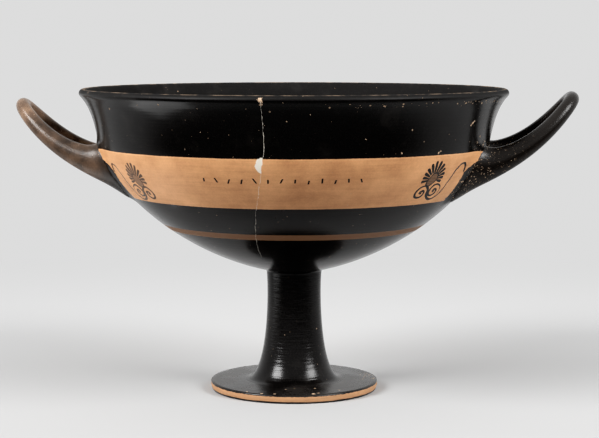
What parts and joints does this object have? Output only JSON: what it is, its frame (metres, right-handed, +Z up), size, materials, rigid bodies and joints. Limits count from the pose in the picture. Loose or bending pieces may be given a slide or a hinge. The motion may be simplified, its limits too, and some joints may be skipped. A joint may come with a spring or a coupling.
{
  "type": "kylix drinking cup",
  "caption": "Wide shallow drinking cup of black-glazed clay with an offset lip and a painted band, two upswept loop handles and a slender stem on a flat disc foot.",
  "frame": {"origin": "middle of the ring that the foot stands on, at table level", "axes": "+Z up along the stem, +X through the tip of the right handle as seen from the front, -Y towards the front"},
  "size_m": [0.2912, 0.2204, 0.1567],
  "materials": {
    "glazed_clay": "glossy black slip over fired clay, with a reserved clay-coloured band, worn at the edges"
  },
  "bodies": {
    "root": {"cup": "glazed_clay"}
  },
  "joints": []
}
